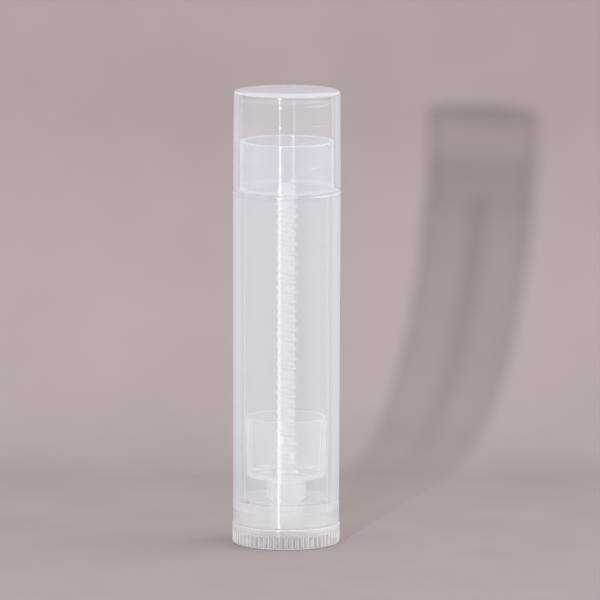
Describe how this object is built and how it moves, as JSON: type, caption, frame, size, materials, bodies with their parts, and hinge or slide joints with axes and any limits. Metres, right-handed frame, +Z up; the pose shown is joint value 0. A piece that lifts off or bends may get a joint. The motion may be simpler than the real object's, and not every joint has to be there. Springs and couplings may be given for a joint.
{
  "type": "lip balm tube",
  "caption": "Empty round twist-up lip balm tube of natural translucent plastic with a clear push-on cap and a ribbed turning dial.",
  "frame": {"origin": "on the tube's axis, in the plane of the dial's foot, which is what the tube stands on", "axes": "+Z up the tube's axis towards the cap, -Y towards the picture's camera, +X to its right"},
  "size_m": [0.0162, 0.0162, 0.068],
  "materials": {
    "natural_barrel": "moulded natural polypropylene, milky and see-through, satin gloss",
    "clear_cap": "moulded clear polypropylene, nearly clear, glossy",
    "natural_cup": "moulded natural polypropylene, milky, satin",
    "natural_spindle": "moulded natural polypropylene, milky, satin gloss"
  },
  "bodies": {
    "barrel": {"barrel": "natural_barrel"},
    "cap": {"cap": "clear_cap"},
    "elevator": {"elevator_cup": "natural_cup"},
    "dial": {"dial_and_spindle": "natural_spindle"}
  },
  "joints": [
    {"name": "cap_pull", "type": "slide", "parent": "barrel", "child": "cap", "axis": [0, 0, 1], "range_m": [0, 0.02]},
    {"name": "elevator_rise", "type": "slide", "parent": "barrel", "child": "elevator", "axis": [0, 0, 1], "range_m": [0, 0.04147]},
    {"name": "dial_turn", "type": "hinge", "parent": "barrel", "child": "dial", "pos_m": [0, 0, 0], "axis": [0, 0, 1], "range_deg": [0, 10441]}
  ],
  "couplings": [
    {"joint": "dial_turn", "follows": "elevator_rise", "rad_per_m": 4393.8}
  ]
}
